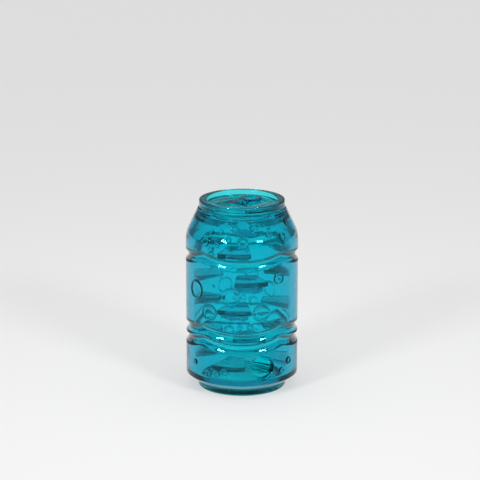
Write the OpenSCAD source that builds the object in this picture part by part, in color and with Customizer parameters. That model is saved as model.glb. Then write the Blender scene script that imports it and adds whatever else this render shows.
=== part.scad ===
// Treat dispenser for dogs in the shape of a drinks can: a thick clear rubber wall with a plug-in lid,
// a soft ring pull, a plug-in foot, a round treat port and inner fins that hold the treats back.
// The can stands on z = 0 with its axis on Z, and its front faces -Y.

/* [Wall] */
// Outer diameter of the straight wall
can_d = 66; // [60:0.5:76]
// Height of the straight wall, from the lower slope to the shoulder
straight_h = 80.1; // [75:0.1:100]
// Thickness of the wall
wall_t = 4.4; // [3.6:0.1:5.2]

/* [Foot] */
// Diameter of the foot ring
foot_d = 51.8; // [47:0.2:54]
// Height of the foot ring
foot_h = 3.2; // [2:0.1:4]
// Height of the slope from the foot up to the straight wall
slope_h = 5.3; // [4.5:0.1:8]
// Width of the ledge that overhangs the foot ring
foot_ledge = 0.5; // [0.2:0.1:1]
// Diameter of the foot's plug, which closes the bottom of the can
foot_plug_d = 41.4; // [38:0.2:43]
// Height of the foot's plug above the foot ring
foot_plug_h = 2.6; // [2:0.1:5]
// Depth of the hollow under the foot
foot_hollow = 2; // [1:0.1:3]
// Width of the ring that touches the ground
foot_land = 4.2; // [3:0.1:7]

/* [Neck] */
// Outer diameter of the top of the neck, where the lid sits
neck_d = 51.8; // [50:0.2:55]
// Slope of the neck, in degrees from upright
neck_slope = 25.5; // [22:0.5:30]
// Radius of the shoulder between the straight wall and the neck
shoulder_r = 17.6; // [10:0.2:22]

/* [Grooves] */
// Width of a groove on the wall
groove_w = 7; // [5:0.1:8]
// Depth of a groove
groove_depth = 1.75; // [1:0.05:2.2]
// How far a groove climbs from its four low points to the corners between them
groove_climb = 4; // [2:0.1:5]
// Distance of the upper groove's low points below the shoulder
upper_groove_drop = 8.5; // [6:0.1:12]
// Height of the middle of the lower pair above the lower slope
groove_pair_rise = 25; // [22:0.1:30]
// Distance between the two grooves of the lower pair
groove_pair_pitch = 6.9; // [5:0.1:9]

/* [Nubs] */
// How far a nub stands out of the wall
nub_h = 0.8; // [0.3:0.1:1.2]

/* [Treat port] */
// Diameter of the treat port
port_d = 13; // [10:0.5:15]
// Height of the port's centre above the lower slope
port_rise = 10.6; // [9:0.1:12]
// Angle of the port to the right of the front
port_turn = 22; // [20:1:40]

/* [Fins] */
// Width of a fin's taper at the outside of the wall
fin_w = 22; // [16:0.5:23]
// Width of a fin at its tip
fin_tip_w = 11; // [8:0.5:16]
// Thickness of a fin's taper at the outside of the wall
fin_root_t = 3.4; // [2.6:0.1:4.4]
// Thickness of a fin at its tip
fin_tip_t = 1.2; // [0.9:0.1:2.2]
// Distance of a fin's tip from the axis of the can
fin_tip_r = 12; // [11:0.5:16]
// How far a fin's tip stands above its root
fin_lift = 1.5; // [0:0.1:4]
// Height of the lowest fins above the lower slope
fin_low_rise = 8.5; // [7:0.1:12]
// Distance of the highest fins below the shoulder
fin_high_drop = 3.8; // [2:0.1:8]

/* [Lid] */
// Outer diameter of the rim
rim_d = 50.2; // [46:0.2:54]
// Inner diameter of the rim
rim_bore_d = 41.2; // [38:0.2:42]
// Height of the rim
rim_h = 5.2; // [3.6:0.1:6]
// Radius of the rim's outer edge
rim_round = 1; // [0.5:0.1:2.6]
// Radius of the rim's inner edge
rim_bore_round = 0.9; // [0.3:0.1:1.2]
// Depth of the lid's floor below the rim
floor_drop = 2.4; // [1.4:0.1:2.8]
// Thickness of the lid's floor
floor_t = 2.4; // [1.8:0.1:3.4]
// Diameter of the plug that goes into the neck
plug_d = 41.8; // [39:0.2:42]
// Depth of the plug in the neck
plug_h = 3.6; // [3:0.1:8]
// Wall of the plug
plug_t = 3.4; // [2:0.1:4.5]
// Turn of the mouth and the ring pull around the lid, in degrees
lid_turn = -37; // [-90:1:90]
// Width of the sunk panel across the mouth and the ring pull
panel_w = 21; // [18:0.2:28]
// Diameter of the sunk panel along the mouth and the ring pull
panel_d = 37; // [34:0.2:40]
// Depth of the sunk panel below the lid's floor
panel_drop = 0.8; // [0.4:0.1:1.2]
// Width of the mouth
mouth_w = 15; // [12:0.5:18]
// Length of the mouth
mouth_l = 11; // [9:0.5:12]
// Distance between the mouth and the rivet
mouth_margin = 0.6; // [0.4:0.1:2]

/* [Ring pull] */
// Outer diameter of the ring
tab_d = 12.6; // [11:0.2:15]
// Diameter of the finger hole
tab_hole_d = 7.2; // [5:0.2:8]
// Thickness of the ring pull
tab_t = 2; // [1.4:0.1:2.2]
// Width of the ring pull's root
tab_root_w = 7; // [5:0.2:9]
// Distance of the ring pull's root from the axis of the can
tab_root_at = 2.4; // [2:0.1:4]
// Distance from the root to the centre of the ring
tab_reach = 6.4; // [5:0.1:8]
// Diameter of the rivet's head
rivet_d = 3; // [2.6:0.1:4.2]
// Diameter of the rivet's shank in the floor
shank_d = 2; // [1.4:0.1:2.4]
// Depth of the rivet's shank in the floor
shank_h = 1; // [0.6:0.1:1.2]

/* [Clearances] */
// Gap between the lid and the neck
lid_gap = 0.3; // [0.2:0.05:0.5]
// Gap around the ring pull and its root
tab_gap = 0.4; // [0.3:0.05:0.6]
// Gap around a piece that is bonded in its seat
seat_gap = 0.1; // [0.05:0.05:0.2]

/* [Hidden] */
$fn = 96;
eps = 0.01;

// Each round stretch of an outline has this many straight steps
arc_steps = 8;

// Places of the nubs on one half of the wall, repeated on the other half: [turn, height, diameter].
// Heights are above the lower slope on the straight wall, and below the neck's top on the shoulder.
WALL_NUBS = [
    [-53, 55.1, 11.2],
    [-35, 43, 10.2],
    [-11, 53.5, 11.6],
    [20, 43.8, 10.8],
    [40, 63.1, 7.4],
    [-30, 59.1, 2.2],
    [-22, 66.1, 2.4],
    [1, 40.4, 2.8],
    [-13, 33.9, 6.4],
    [-2, 35.4, 3.4],
    [8, 35.6, 4],
    [-16, 14.6, 3.4],
    [-18, 8, 4.2],
    [-27, 6.6, 4.6],
    [-37, 6, 5],
    [-55, 10.7, 3.6],
    [44, 7, 4],
    [55, 11.5, 4.6]
];
NECK_NUBS = [
    [1, 13.2, 7.2],
    [-8, 5.9, 4.8],
    [14, 5.4, 5.4],
    [-24, 7.9, 3.6],
    [-35, 8.7, 3.2],
    [-14, 12, 3.6],
    [-41, 14.2, 6.6],
    [-26, 15.3, 3.2],
    [-33, 18, 4],
    [30, 9.7, 4.4],
    [47, 12.2, 5.4],
    [62, 5.7, 4]
];

// Turns of the fins of each level, from the lowest up
FIN_TURNS = [-16, 9, -9, 11, -9];
SIDES = ["front", "right", "back", "left"];
FINS = [for (side = [0 : 3]) for (level = [0 : 4]) [side, level]];
function fin_name(fin) = str("fin_", SIDES[fin[0]], "_", fin[1] + 1);

// The teal of the clear rubber, and a deeper tone for the pieces that sit inside it
clear_teal = [0, 0.62, 0.7];
deep_teal = [0, 0.45, 0.58];

// The wall's radii, and its heights from the foot up
can_r = can_d / 2;
bore_r = can_r - wall_t;
wall_z = foot_h + slope_h;
shoulder_z = wall_z + straight_h;
slope_low_r = foot_d / 2 + foot_ledge;
slope_angle = atan2(can_r - slope_low_r, slope_h);
neck_r = neck_d / 2;
shoulder_tangent = shoulder_r * tan(neck_slope / 2);
neck_z = shoulder_z + shoulder_tangent + (can_r - neck_r) / tan(neck_slope);
neck_bore_r = neck_r - wall_t / cos(neck_slope);
socket_r = plug_d / 2 + lid_gap;
socket_z = neck_z - plug_h - lid_gap;
foot_bore_r = foot_plug_d / 2 + seat_gap;

// Height at which the inside of the lower slope has a radius
function slope_bore_z(r) = foot_h + (r + wall_t / cos(slope_angle) - slope_low_r) / tan(slope_angle);

// Below the socket the bore opens at 45 degrees until it meets the inside of the neck
flare_drop = (neck_bore_r - socket_r + neck_z - socket_z) / (1 - tan(neck_slope));
flare_r = neck_bore_r + flare_drop * tan(neck_slope);

// A groove is a ring of round section. Each quarter of it leans, so that it is lowest at its middle.
groove_r = (groove_w ^ 2 / 4 + groove_depth ^ 2) / (2 * groove_depth);
groove_ring_r = can_r + groove_r - groove_depth;
groove_lean = atan(groove_climb / (groove_ring_r * (1 - cos(45))));
groove_reach = groove_ring_r / cos(groove_lean);
groove_shift = (groove_reach ^ 2 - groove_ring_r ^ 2) / (4 * groove_reach * (1 - cos(45)));

// The lid's heights
seat_z = neck_z + lid_gap;
can_h = seat_z + rim_h;
floor_z = can_h - floor_drop;
floor_low_z = floor_z - floor_t;
panel_z = floor_z - panel_drop;
rim_r = rim_d / 2;
rim_bore_r = rim_bore_d / 2;
plug_r = plug_d / 2;

// The ring pull lies along the lid's own Y axis, with its root turning about the lid's X axis
tab_axis_z = panel_z + tab_gap + tab_t / 2;
rivet_at = tab_root_at - tab_t / 2 - tab_gap - rivet_d / 2;
mouth_at = rivet_at - rivet_d / 2 - mouth_margin - mouth_l / 2;

fin_low_z = wall_z + fin_low_rise;
fin_pitch = (shoulder_z - fin_high_drop - fin_low_z) / (len(FIN_TURNS) - 1);

// Points of a quarter or shorter arc, from one angle to another
function arc(x, y, r, from, to) = [
    for (i = [0 : arc_steps])
        let (a = from + (to - from) * i / arc_steps)
        [x + r * cos(a), y + r * sin(a)]
];

// Outside of the wall from the slope to the neck's top, moved out by grow
function wall_outline(grow) = concat(
    [[slope_low_r + grow, foot_h], [can_r + grow, wall_z]],
    arc(can_r - shoulder_r, shoulder_z, shoulder_r + grow, 0, neck_slope),
    [[neck_r + grow, neck_z]]
);

// Outer radius of the shoulder or the neck at a distance below the neck's top
function neck_outer_r(drop) = min(can_r, neck_r + drop * tan(neck_slope));

module wall_revolved(grow) {
    rotate_extrude()
        polygon(concat([[0, foot_h]], wall_outline(grow), [[0, neck_z]]));
}

// The hollow of the can, from the foot's plug up through the lid's socket
module chamber() {
    rotate_extrude()
        polygon([
            [0, foot_h - eps],
            [foot_bore_r, foot_h - eps],
            [foot_bore_r, slope_bore_z(foot_bore_r)],
            [bore_r, slope_bore_z(bore_r)],
            [bore_r, neck_z - (bore_r - neck_bore_r) / tan(neck_slope)],
            [flare_r, neck_z - flare_drop],
            [socket_r, socket_z],
            [socket_r, neck_z + eps],
            [0, neck_z + eps]
        ]);
}

// One wavy groove: four leaning quarters of a ring, lowest at the front, back and sides
module groove(low_z) {
    for (turn = [0 : 90 : 270])
        rotate(turn)
            intersection() {
                linear_extrude(can_h)
                    polygon([[0, 0], [-can_d, -can_d], [can_d, -can_d]]);
                translate([0, 0, low_z + groove_ring_r * tan(groove_lean)])
                    rotate([groove_lean, 0, 0])
                        translate([0, -groove_shift, 0])
                            rotate_extrude()
                                translate([groove_reach - groove_shift, 0])
                                    circle(groove_r);
            }
}

// A round nub that points out of the wall, tilted up by lean
module nub(turn, r, z, d, lean) {
    rotate(turn)
        translate([0, -r, z])
            rotate([90 - lean, 0, 0])
                translate([0, 0, -wall_t / 2])
                    cylinder(h = wall_t, d = d);
}

module nubs() {
    intersection() {
        wall_revolved(nub_h);
        for (half = [0, 180]) {
            for (n = WALL_NUBS)
                nub(half + n[0], can_r, wall_z + n[1], n[2], 0);
            for (n = NECK_NUBS)
                nub(half + n[0], neck_outer_r(n[1]), neck_z - n[1], n[2], neck_slope);
        }
    }
}

module treat_port() {
    rotate(port_turn)
        translate([0, 0, wall_z + port_rise])
            rotate([90, 0, 0])
                cylinder(h = can_d, d = port_d);
}

module can_body() {
    color(clear_teal)
        difference() {
            union() {
                wall_revolved(0);
                nubs();
            }
            chamber();
            treat_port();
            groove(shoulder_z - upper_groove_drop);
            for (side = [-0.5, 0.5])
                groove(wall_z + groove_pair_rise + side * groove_pair_pitch);
        }
}

// An oval across the lid's own Y axis
module mouth_outline() {
    bulge = (mouth_w - mouth_l) / 2;
    for (side = [-bulge, bulge])
        translate([side, 0])
            circle(d = mouth_l);
    square([2 * bulge, mouth_l], center = true);
}

module lid_revolved() {
    rotate_extrude()
        polygon(concat(
            [
                [0, floor_low_z],
                [plug_r - plug_t, floor_low_z],
                [plug_r - plug_t, neck_z - plug_h],
                [plug_r, neck_z - plug_h],
                [plug_r, seat_z],
                [rim_r, seat_z]
            ],
            arc(rim_r - rim_round, can_h - rim_round, rim_round, 0, 90),
            arc(rim_bore_r + rim_bore_round, can_h - rim_bore_round, rim_bore_round, 90, 180),
            [[rim_bore_r, floor_z], [0, floor_z]]
        ));
}

module top_lid() {
    color(clear_teal)
        difference() {
            lid_revolved();
            rotate(lid_turn) {
                translate([0, 0, panel_z])
                    intersection() {
                        cylinder(h = can_h, d = panel_d);
                        translate([-panel_w / 2, -panel_d / 2, 0])
                            cube([panel_w, panel_d, can_h]);
                    }
                translate([0, mouth_at, neck_z - plug_h])
                    linear_extrude(can_h)
                        mouth_outline();
                translate([0, rivet_at, panel_z - shank_h])
                    cylinder(h = can_h, d = shank_d + 2 * seat_gap);
            }
        }
}

// The ring, its finger hole and its rolled root
module pull_tab() {
    color(deep_teal)
        rotate(lid_turn)
            translate([0, tab_root_at, tab_axis_z]) {
                translate([0, 0, -tab_t / 2])
                    linear_extrude(tab_t)
                        difference() {
                            union() {
                                translate([0, tab_reach])
                                    circle(d = tab_d);
                                translate([-tab_root_w / 2, 0])
                                    square([tab_root_w, tab_reach]);
                            }
                            translate([0, tab_reach])
                                circle(d = tab_hole_d);
                        }
                rotate([0, 90, 0])
                    cylinder(h = tab_root_w, d = tab_t, center = true);
            }
}

// The rivet's head and shank, and the cradle in front of the ring pull's root
module tab_rivet() {
    cradle_h = tab_gap + tab_t / 2;
    color(deep_teal)
        rotate(lid_turn) {
            translate([0, rivet_at, panel_z - shank_h + seat_gap])
                cylinder(h = shank_h, d = shank_d);
            translate([0, rivet_at, panel_z])
                cylinder(h = tab_gap + tab_t, d = rivet_d);
            difference() {
                translate([-tab_root_w / 2, rivet_at, panel_z])
                    cube([tab_root_w, tab_root_at - rivet_at, cradle_h]);
                translate([0, tab_root_at, tab_axis_z])
                    rotate([0, 90, 0])
                        cylinder(h = 2 * tab_root_w, d = tab_t + 2 * tab_gap, center = true);
            }
        }
}

// The foot ring with its plug, hollow underneath
module base_cap() {
    hollow_r = foot_d / 2 - foot_land;
    hollow_ball_r = (hollow_r ^ 2 + foot_hollow ^ 2) / (2 * foot_hollow);
    color(clear_teal)
        difference() {
            union() {
                cylinder(h = foot_h, d = foot_d);
                cylinder(h = foot_h + foot_plug_h, d = foot_plug_d);
            }
            translate([0, 0, foot_hollow - hollow_ball_r])
                sphere(hollow_ball_r);
        }
}

// One fin from the inside of the wall to its tip, tapered in width and in thickness
module inner_fin(side, level) {
    root_z = fin_low_z + level * fin_pitch;
    color(deep_teal)
        intersection() {
            cylinder(h = can_h, r = bore_r - seat_gap);
            rotate(90 * side + FIN_TURNS[level])
                intersection() {
                    linear_extrude(can_h)
                        polygon([
                            [-fin_w / 2, -can_r],
                            [fin_w / 2, -can_r],
                            [fin_tip_w / 2, -fin_tip_r],
                            [-fin_tip_w / 2, -fin_tip_r]
                        ]);
                    rotate([90, 0, 90])
                        translate([0, 0, -fin_w / 2])
                            linear_extrude(fin_w)
                                polygon([
                                    [-can_r, root_z - fin_root_t / 2],
                                    [-fin_tip_r, root_z + fin_lift - fin_tip_t / 2],
                                    [-fin_tip_r, root_z + fin_lift + fin_tip_t / 2],
                                    [-can_r, root_z + fin_root_t / 2]
                                ]);
                }
        }
}

can_body();
top_lid();
pull_tab();
tab_rivet();
base_cap();
for (fin = FINS)
    inner_fin(fin[0], fin[1]);
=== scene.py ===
"""Clear rubber treat dispenser in the shape of a drinks can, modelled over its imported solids."""

import math

import bpy
import numpy as np
from bpy.props import FloatProperty, FloatVectorProperty, PointerProperty
from mathutils import Matrix, Vector


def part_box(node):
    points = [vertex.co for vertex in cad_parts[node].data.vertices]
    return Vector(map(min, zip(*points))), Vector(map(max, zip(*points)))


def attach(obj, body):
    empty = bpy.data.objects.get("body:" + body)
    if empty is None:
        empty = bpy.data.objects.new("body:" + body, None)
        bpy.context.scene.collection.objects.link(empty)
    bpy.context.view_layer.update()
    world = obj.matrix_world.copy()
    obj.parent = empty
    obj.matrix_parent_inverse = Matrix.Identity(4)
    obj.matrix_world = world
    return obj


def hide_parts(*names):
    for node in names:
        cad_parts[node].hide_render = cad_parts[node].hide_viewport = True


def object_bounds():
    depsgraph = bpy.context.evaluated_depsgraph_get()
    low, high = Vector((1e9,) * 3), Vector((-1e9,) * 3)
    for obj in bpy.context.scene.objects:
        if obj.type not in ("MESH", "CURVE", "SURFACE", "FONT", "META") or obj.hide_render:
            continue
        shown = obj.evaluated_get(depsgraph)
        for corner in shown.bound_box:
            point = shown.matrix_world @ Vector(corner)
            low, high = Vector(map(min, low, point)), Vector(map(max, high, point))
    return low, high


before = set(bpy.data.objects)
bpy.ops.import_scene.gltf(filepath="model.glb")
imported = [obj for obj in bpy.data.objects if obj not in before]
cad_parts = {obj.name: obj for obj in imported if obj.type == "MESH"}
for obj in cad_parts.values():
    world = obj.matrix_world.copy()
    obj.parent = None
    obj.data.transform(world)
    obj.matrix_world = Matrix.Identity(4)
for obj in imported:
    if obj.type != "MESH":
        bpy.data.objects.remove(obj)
CAD_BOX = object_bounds()

bl_info = {
    "name": "Treat dispenser can",
    "version": (1, 0, 0),
    "blender": (4, 5, 0),
    "location": "View3D > Sidebar > Dispenser",
    "description": "Models the clear wall, lid, ring pull, foot and inner fins of a rubber treat dispenser",
    "category": "Object",
}

MM = 0.001
WALL_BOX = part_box("can_body")
LID_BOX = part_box("top_lid")
FOOT_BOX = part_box("base_cap")
QUARTER = math.tau / 4

# Sides of the can that carry fins, and the turn of each level's fins in degrees, from the lowest level up
FIN_SIDES = ("front", "right", "back", "left")
FIN_TURNS = (-16, 9, -9, 11, -9)

# Steps round the turned pieces
WALL_STEPS = 288
LID_STEPS = 240
FOOT_STEPS = 240
RIVET_STEPS = 64
NUB_STEPS = 36

# Steps round the ring pull, the floor and the cutters
RING_STEPS = 96
PANEL_STEPS = 160

# Steps along the round stretches of the sections, and cuts across each side of a fin
CORNER_STEPS = 6
LID_CORNER_STEPS = 8
TAB_CORNER_STEPS = 5
GROOVE_STEPS = 18
SHOULDER_STEPS = 16
HOLLOW_STEPS = 24
LIP_STEPS = 6
PANEL_EDGE_STEPS = 4
BEAD_STEPS = 8
BEVEL_STEPS = 3
FIN_CUTS = 11

# Longest step along the section of the wall's outside
WALL_FACE = 1.2 * MM

# Distances below which points become one
MERGE = 2e-7
WALL_MERGE = 1e-6

# Angles in degrees above which an edge is shaded sharp, and above which it is bevelled
CREASE = 40
WALL_CREASE = 30
RIVET_CREASE = 35
BEVEL_FROM = 50

# Roundings of the wall's edges, up the outside and then down the inside
WALL_LOW_EDGE = 0.4 * MM
SLOPE_EDGE = 0.8 * MM
GROOVE_EDGE = 0.25 * MM
NECK_EDGE = 0.8 * MM
SOCKET_EDGE = 0.4 * MM
SOCKET_FLOOR_EDGE = 0.8 * MM
NECK_BORE_EDGE = 2 * MM
SHOULDER_BORE_EDGE = 3 * MM
SLOPE_BORE_EDGE = 2.5 * MM
FOOT_HOLE_EDGE = 0.6 * MM
FOOT_HOLE_LOW_EDGE = 0.3 * MM

# Roundings of the lid's edges
PLUG_BORE_EDGE = 0.8 * MM
PLUG_EDGE = 0.6 * MM
SEAT_EDGE = 0.3 * MM
RIM_LOW_EDGE = 1 * MM
LID_FLOOR_EDGE = 0.6 * MM
PANEL_EDGE = 0.3 * MM
PANEL_LIP = 0.1 * MM

# Roundings of the ring pull, the rivet and its cradle, the fins and the foot
TAB_EDGE = 0.4 * MM
RIVET_LOW_EDGE = 0.2 * MM
RIVET_DOME = 0.9 * MM
CRADLE_EDGE = 0.25 * MM
FIN_EDGE = 0.4 * MM
HOLLOW_EDGE = 0.3 * MM
FOOT_LOW_EDGE = 0.7 * MM
FOOT_TOP_EDGE = 0.4 * MM
FOOT_PLUG_ROOT = 0.2 * MM
FOOT_PLUG_EDGE = 0.6 * MM

# Gaps between a piece and the face that it meets, and between the foot and the floor
SEAT = 0.02 * MM
FLOOR_GAP = 0.05 * MM

# Radius of the floor in metres
FLOOR_RADIUS = 5

# How far the cutters go past what they cut
CUTTER_MARGIN = 1 * MM
PORT_MARGIN = 3 * MM

# How much wider the cutters are at their outer ends, as a length for the panel and as shares of the lip
PANEL_FLARE = 0.5 * MM
MOUTH_FLARE = 1.2
PORT_FLARE = 2.2

# How far inside the wall's radius the port's lip ends, because the wall curves away beside the port
PORT_LIP_INSET = 0.6 * MM

# Sharpness of the grooves' corners between their low points, and of their lips
GROOVE_CORNER = 9
LIP_POWER = 8

# Height above the slope from which the wall's outside starts to follow the grooves
WAVE_MARGIN = 1 * MM

# Root and inner ring of a nub of unit size, and the largest share of a nub's width that its bead takes
NUB_ROOT = -1
NUB_INNER_RING = 0.6
BEAD_SHARE = 0.4

# Width from which a nub's middle is dished and width from which the dish is full
DISH_FROM = 3 * MM
DISH_FULL = 4.5 * MM

# How far below a groove's skin the rest of a nub lies
NUB_SINK = 0.05 * MM

# Detail of the clouds, the rubbed patches and the skin's waves, and the noise over which rubbing sets in
CLOUD_DETAIL = 3
RUB_DETAIL = 4
WAVE_DETAIL = 2
RUB_RANGE = (0.35, 0.75)

# Upward share of a direction where the light of the horizon ends and where that from overhead is full
SKY_RANGE = (0.15, 0.85)

# Keeps a division away from zero
TINY = 1e-6

# Round nubs on the straight wall: turn from the front in degrees, height above the slope and width in mm
WALL_NUBS = (
    (-53, 55.1, 11.2),
    (-35, 43, 10.2),
    (-11, 53.5, 11.6),
    (20, 43.8, 10.8),
    (40, 63.1, 7.4),
    (-30, 59.1, 2.2),
    (-22, 66.1, 2.4),
    (1, 40.4, 2.8),
    (-13, 33.9, 6.4),
    (-2, 35.4, 3.4),
    (8, 35.6, 4),
    (-16, 14.6, 3.4),
    (-18, 8, 4.2),
    (-27, 6.6, 4.6),
    (-37, 6, 5),
    (-55, 10.7, 3.6),
    (44, 7, 4),
    (55, 11.5, 4.6),
)

# Round nubs on the shoulder and neck: turn in degrees, drop below the neck's top and width in mm
NECK_NUBS = (
    (1, 13.2, 7.2),
    (-8, 5.9, 4.8),
    (14, 5.4, 5.4),
    (-24, 7.9, 3.6),
    (-35, 8.7, 3.2),
    (-14, 12, 3.6),
    (-41, 14.2, 6.6),
    (-26, 15.3, 3.2),
    (-33, 18, 4),
    (30, 9.7, 4.4),
    (47, 12.2, 5.4),
    (62, 5.7, 4),
)


def length(label, text, default):
    """A length property in metres."""
    return FloatProperty(name=label, description=text, default=default, unit="LENGTH", subtype="DISTANCE")


def turn(label, text, degrees):
    """An angle property, given in degrees."""
    return FloatProperty(
        name=label, description=text, default=math.radians(degrees), unit="ROTATION", subtype="ANGLE"
    )


def colour(label, text, default):
    """A linear colour property."""
    return FloatVectorProperty(
        name=label, description=text, default=default, size=3, min=0, max=1, subtype="COLOR"
    )


def number(label, text, default, **limits):
    """A plain number property."""
    return FloatProperty(name=label, description=text, default=default, **limits)


class WallSettings(bpy.types.PropertyGroup):
    """Sizes of the can's wall."""

    radius: length("Radius", "Outer radius of the straight wall", (WALL_BOX[1][0] - WALL_BOX[0][0]) / 2)
    thickness: length("Thickness", "Thickness of the wall", 4.4 * MM)
    slope_height: length("Slope height", "Height of the slope above the foot", 5.3 * MM)
    slope_low_radius: length("Slope low radius", "Radius at the bottom of the slope", 26.4 * MM)
    straight_height: length("Straight height", "Height of the straight wall", 80.1 * MM)
    shoulder_radius: length("Shoulder radius", "Radius of the round shoulder", 17.6 * MM)
    neck_slope: turn("Neck slope", "Slope of the neck from upright", 25.5)
    neck_radius: length("Neck radius", "Outer radius of the neck's top", 25.9 * MM)
    socket_radius: length("Socket radius", "Radius of the hole that takes the lid's plug", 21.2 * MM)
    socket_depth: length("Socket depth", "Depth of the hole that takes the lid's plug", 3.9 * MM)
    foot_hole_radius: length("Foot hole radius", "Radius of the hole that takes the foot's plug", 20.8 * MM)
    groove_depth: length("Groove depth", "Depth of a wavy groove", 1.75 * MM)
    groove_width: length("Groove width", "Width of a wavy groove", 7 * MM)
    groove_flank: turn("Groove flank", "Slope of the straight flanks of a groove", 22.5)
    groove_bottom: length("Groove bottom", "Rounding of a groove's bottom", 0.5 * MM)
    groove_climb: length("Groove climb", "Rise of a groove between its low points", 4 * MM)
    upper_groove_drop: length("Upper groove drop", "Drop of the upper groove below the shoulder", 8.5 * MM)
    groove_pair_rise: length("Groove pair rise", "Rise of the lower pair above the slope", 25 * MM)
    groove_pair_pitch: length("Groove pair pitch", "Spacing of the lower pair", 6.9 * MM)
    nub_height: length("Nub height", "Height of the round nubs", 0.8 * MM)
    nub_bead: length("Nub bead", "Width of the raised bead round a nub", 1.2 * MM)
    nub_dish: length("Nub dish", "Depth of a wide nub's middle below its bead", 0.5 * MM)
    nub_depth: length("Nub depth", "How far a nub goes into the wall", 1 * MM)
    port_radius: length("Port radius", "Radius of the treat port", 6.5 * MM)
    port_lip: length("Port lip", "Rounding of the port's outer lip", 1.1 * MM)
    port_rise: length("Port rise", "Rise of the port above the slope", 10.6 * MM)
    port_turn: turn("Port turn", "Turn of the port to the right of the front", 22)


class LidSettings(bpy.types.PropertyGroup):
    """Sizes of the lid, the ring pull and the rivet."""

    lid_turn: turn("Lid turn", "Turn of the lid, with its mouth at the front at zero", -37)
    seat_height: length("Seat height", "Height of the rim's underside", 107.768 * MM)
    rim_round: length("Rim rounding", "Rounding of the rim's outer edge", 1 * MM)
    rim_bore_radius: length("Rim bore radius", "Inner radius of the rim", 20.6 * MM)
    rim_bore_round: length("Rim bore rounding", "Rounding of the rim's inner edge", 0.9 * MM)
    plug_radius: length("Plug radius", "Outer radius of the plug", 20.9 * MM)
    plug_thickness: length("Plug thickness", "Thickness of the plug's wall", 3.4 * MM)
    floor_drop: length("Floor drop", "Drop of the floor below the rim", 2.4 * MM)
    floor_thickness: length("Floor thickness", "Thickness of the floor", 2.4 * MM)
    panel_width: length("Panel width", "Width of the sunk panel", 21 * MM)
    panel_reach: length("Panel reach", "Radius of the sunk panel's ends", 18.5 * MM)
    panel_drop: length("Panel drop", "Drop of the sunk panel below the floor", 0.8 * MM)
    mouth_width: length("Mouth width", "Width of the oval mouth", 15 * MM)
    mouth_length: length("Mouth length", "Length of the oval mouth", 11 * MM)
    mouth_at: length("Mouth place", "Place of the mouth along the lid", -8.1 * MM)
    mouth_lip: length("Mouth lip", "Rounding of the mouth's lip", 0.6 * MM)
    rivet_at: length("Rivet place", "Place of the rivet along the lid", -0.5 * MM)
    rivet_radius: length("Rivet radius", "Radius of the rivet's head", 1.5 * MM)
    tab_at: length("Tab place", "Place of the ring pull's root along the lid", 2.4 * MM)
    tab_reach: length("Tab reach", "Reach from the root to the middle of the ring", 6.4 * MM)
    tab_radius: length("Tab radius", "Outer radius of the ring", 6.3 * MM)
    tab_hole_radius: length("Tab hole radius", "Radius of the finger hole", 3.6 * MM)
    tab_root_width: length("Tab root width", "Width of the ring pull's root", 7 * MM)
    tab_thickness: length("Tab thickness", "Thickness of the ring pull", 2 * MM)
    tab_gap: length("Tab gap", "Gap between the ring pull and the panel", 0.4 * MM)


class FootSettings(bpy.types.PropertyGroup):
    """Sizes of the foot ring and its plug."""

    radius: length("Radius", "Outer radius of the foot", (FOOT_BOX[1][0] - FOOT_BOX[0][0]) / 2)
    height: length("Height", "Height of the foot ring", 3.2 * MM)
    plug_radius: length("Plug radius", "Radius of the plug", 20.7 * MM)
    land: length("Land", "Width of the ring that stands on the floor", 4.2 * MM)
    hollow: length("Hollow", "Depth of the hollow underneath", 2 * MM)


class FinSettings(bpy.types.PropertyGroup):
    """Sizes of the inner fins."""

    width: length("Width", "Width that the taper has at the wall's outside", 22 * MM)
    tip_width: length("Tip width", "Width of the tip", 11 * MM)
    root_thickness: length("Root thickness", "Thickness that the taper has at the wall's outside", 3.4 * MM)
    tip_thickness: length("Tip thickness", "Thickness of the tip", 1.2 * MM)
    tip_radius: length("Tip radius", "Distance of the tip from the can's axis", 12 * MM)
    lift: length("Lift", "Rise of the tip above the root", 1.5 * MM)
    low_rise: length("Low rise", "Rise of the lowest fins above the slope", 8.5 * MM)
    high_drop: length("High drop", "Drop of the highest fins below the shoulder", 3.8 * MM)
    seat_gap: length("Seat gap", "Gap between a fin and the wall", 0.1 * MM)


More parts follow.
